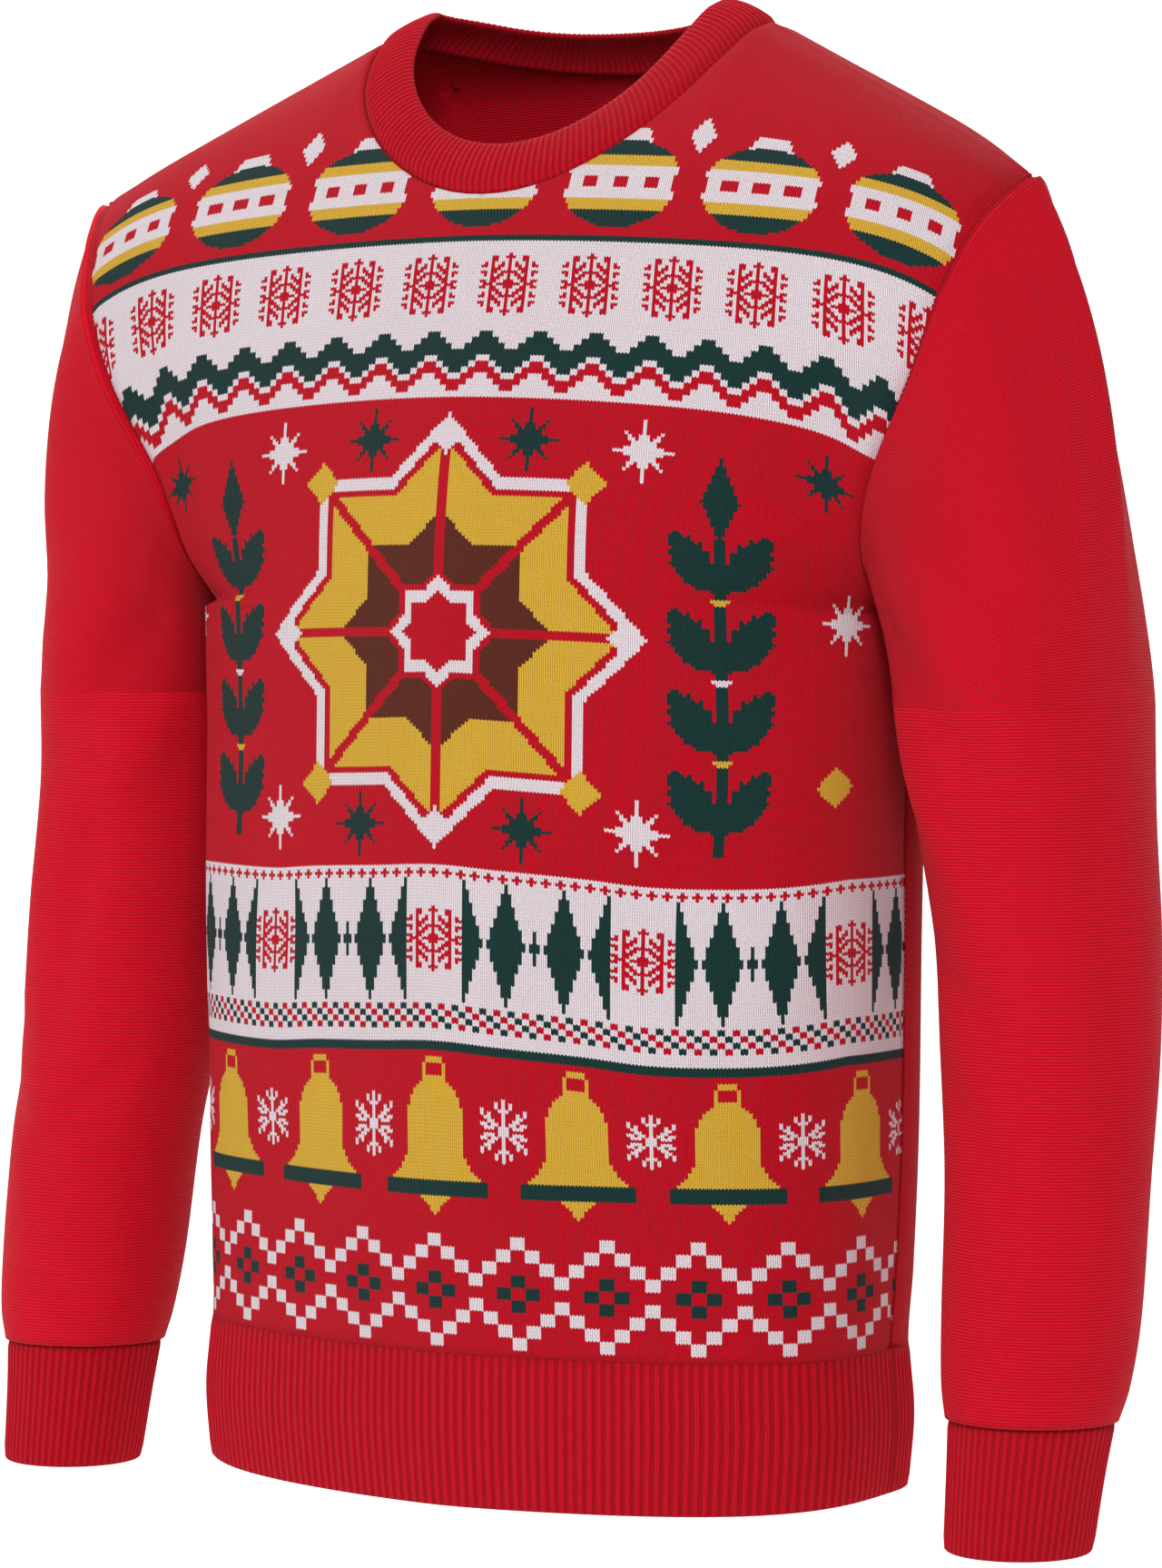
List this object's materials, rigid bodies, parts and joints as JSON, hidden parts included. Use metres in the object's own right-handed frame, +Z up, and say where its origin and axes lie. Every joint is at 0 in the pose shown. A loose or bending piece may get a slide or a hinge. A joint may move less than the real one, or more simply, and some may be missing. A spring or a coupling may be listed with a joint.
{
  "type": "christmas sweater",
  "caption": "Crew-neck knitted pullover with long sleeves, a patterned front and ribbed neck, cuffs and hem, hollow and hanging as worn.",
  "frame": {"origin": "midway between the inner ends of the two shoulder seams, where the wearer's shoulders hold it up", "axes": "+Z up, the front faces -Y, the wearer's left is +X"},
  "size_m": [0.5744, 0.2185, 0.666],
  "materials": {
    "patterned_knit": "matte wool-like knit, red with a colour pattern",
    "plain_knit": "matte wool-like knit, red",
    "rib_knit": "matte ribbed knit, red"
  },
  "bodies": {
    "root": {"front_panel": "patterned_knit", "back_panel": "plain_knit", "left_sleeve": "plain_knit", "right_sleeve": "plain_knit", "neck_rib": "rib_knit", "left_cuff": "rib_knit", "right_cuff": "rib_knit", "front_hem_rib": "rib_knit", "back_hem_rib": "rib_knit"}
  },
  "joints": []
}
